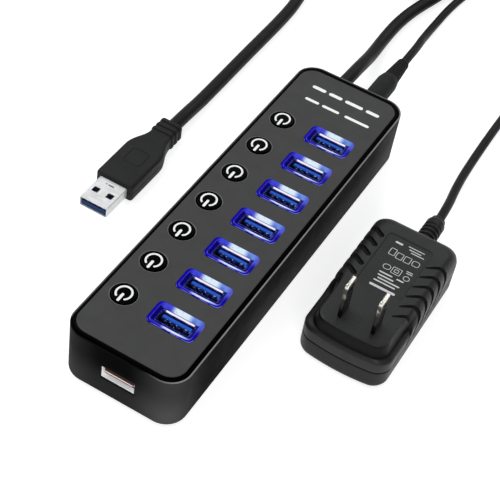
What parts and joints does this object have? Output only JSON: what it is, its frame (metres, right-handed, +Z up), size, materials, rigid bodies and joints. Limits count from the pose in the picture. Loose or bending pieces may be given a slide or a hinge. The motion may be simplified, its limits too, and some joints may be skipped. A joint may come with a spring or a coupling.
{
  "type": "usb hub",
  "caption": "Powered USB hub: a long black casing with a row of blue-lit ports, a switch beside each, a captive cable with its plug, a charging port and a mains adapter on its lead.",
  "frame": {"origin": "on the surface the hub stands on, under the middle of its casing", "axes": "+Z up, +Y along the casing towards the end its cable and power lead leave, +X towards the ports"},
  "size_m": [0.1464, 0.3425, 0.0358],
  "materials": {
    "casing": "satin moulded black",
    "top_plate": "glossy black",
    "face_sheet": "matt dark grey sheet",
    "button": "glossy black with a white printed symbol",
    "light_frame": "translucent blue, lit from below",
    "socket_shell": "pressed nickel-plated steel",
    "socket_insert": "blue moulded plastic",
    "charge_insert": "dark red moulded plastic",
    "circuit_board": "green solder resist",
    "jack": "black moulded plastic",
    "rubber": "soft black",
    "cord": "smooth black jacket",
    "plug_grip": "fine matt dark grey",
    "plug_shell": "nickel-plated steel",
    "plug_insert": "blue moulded plastic",
    "adapter": "fine textured dark grey",
    "blade": "nickel-plated brass"
  },
  "bodies": {
    "hub": {"casing": "casing", "base_cover": "casing", "top_plate": "top_plate", "face_sheet": "face_sheet", "circuit_board": "circuit_board", "foot_1": "rubber", "foot_2": "rubber", "foot_3": "rubber", "foot_4": "rubber", "light_frame_1": "light_frame", "socket_shell_1": "socket_shell", "socket_insert_1": "socket_insert", "light_frame_2": "light_frame", "socket_shell_2": "socket_shell", "socket_insert_2": "socket_insert", "light_frame_3": "light_frame", "socket_shell_3": "socket_shell", "socket_insert_3": "socket_insert", "light_frame_4": "light_frame", "socket_shell_4": "socket_shell", "socket_insert_4": "socket_insert", "light_frame_5": "light_frame", "socket_shell_5": "socket_shell", "socket_insert_5": "socket_insert", "light_frame_6": "light_frame", "socket_shell_6": "socket_shell", "socket_insert_6": "socket_insert", "light_frame_7": "light_frame", "socket_shell_7": "socket_shell", "socket_insert_7": "socket_insert", "charge_port_shell": "socket_shell", "charge_port_insert": "charge_insert", "dc_jack": "jack", "cable_grommet": "rubber", "usb_cable_run": "cord", "usb_cable_coil": "cord", "usb_cable_tail": "cord", "usb_plug_grip": "plug_grip", "usb_plug_shell": "plug_shell", "usb_plug_insert": "plug_insert", "dc_plug_body": "plug_grip", "dc_plug_barrel": "plug_shell", "power_lead_run": "cord", "power_lead_coil": "cord", "power_lead_tail": "cord", "adapter_relief": "plug_grip", "adapter_front": "adapter", "adapter_back": "adapter", "adapter_board": "circuit_board", "adapter_blade_1": "blade", "adapter_blade_2": "blade"},
    "button_1": {"button_1": "button"},
    "button_2": {"button_2": "button"},
    "button_3": {"button_3": "button"},
    "button_4": {"button_4": "button"},
    "button_5": {"button_5": "button"},
    "button_6": {"button_6": "button"},
    "button_7": {"button_7": "button"}
  },
  "joints": [
    {"name": "button_1_press", "type": "slide", "parent": "hub", "child": "button_1", "axis": [0, 0, -1], "range_m": [0, 0.0012], "stiffness_N_per_m": 300, "springref_m": -0.0008},
    {"name": "button_2_press", "type": "slide", "parent": "hub", "child": "button_2", "axis": [0, 0, -1], "range_m": [0, 0.0012], "stiffness_N_per_m": 300, "springref_m": -0.0008},
    {"name": "button_3_press", "type": "slide", "parent": "hub", "child": "button_3", "axis": [0, 0, -1], "range_m": [0, 0.0012], "stiffness_N_per_m": 300, "springref_m": -0.0008},
    {"name": "button_4_press", "type": "slide", "parent": "hub", "child": "button_4", "axis": [0, 0, -1], "range_m": [0, 0.0012], "stiffness_N_per_m": 300, "springref_m": -0.0008},
    {"name": "button_5_press", "type": "slide", "parent": "hub", "child": "button_5", "axis": [0, 0, -1], "range_m": [0, 0.0012], "stiffness_N_per_m": 300, "springref_m": -0.0008},
    {"name": "button_6_press", "type": "slide", "parent": "hub", "child": "button_6", "axis": [0, 0, -1], "range_m": [0, 0.0012], "stiffness_N_per_m": 300, "springref_m": -0.0008},
    {"name": "button_7_press", "type": "slide", "parent": "hub", "child": "button_7", "axis": [0, 0, -1], "range_m": [0, 0.0012], "stiffness_N_per_m": 300, "springref_m": -0.0008}
  ]
}
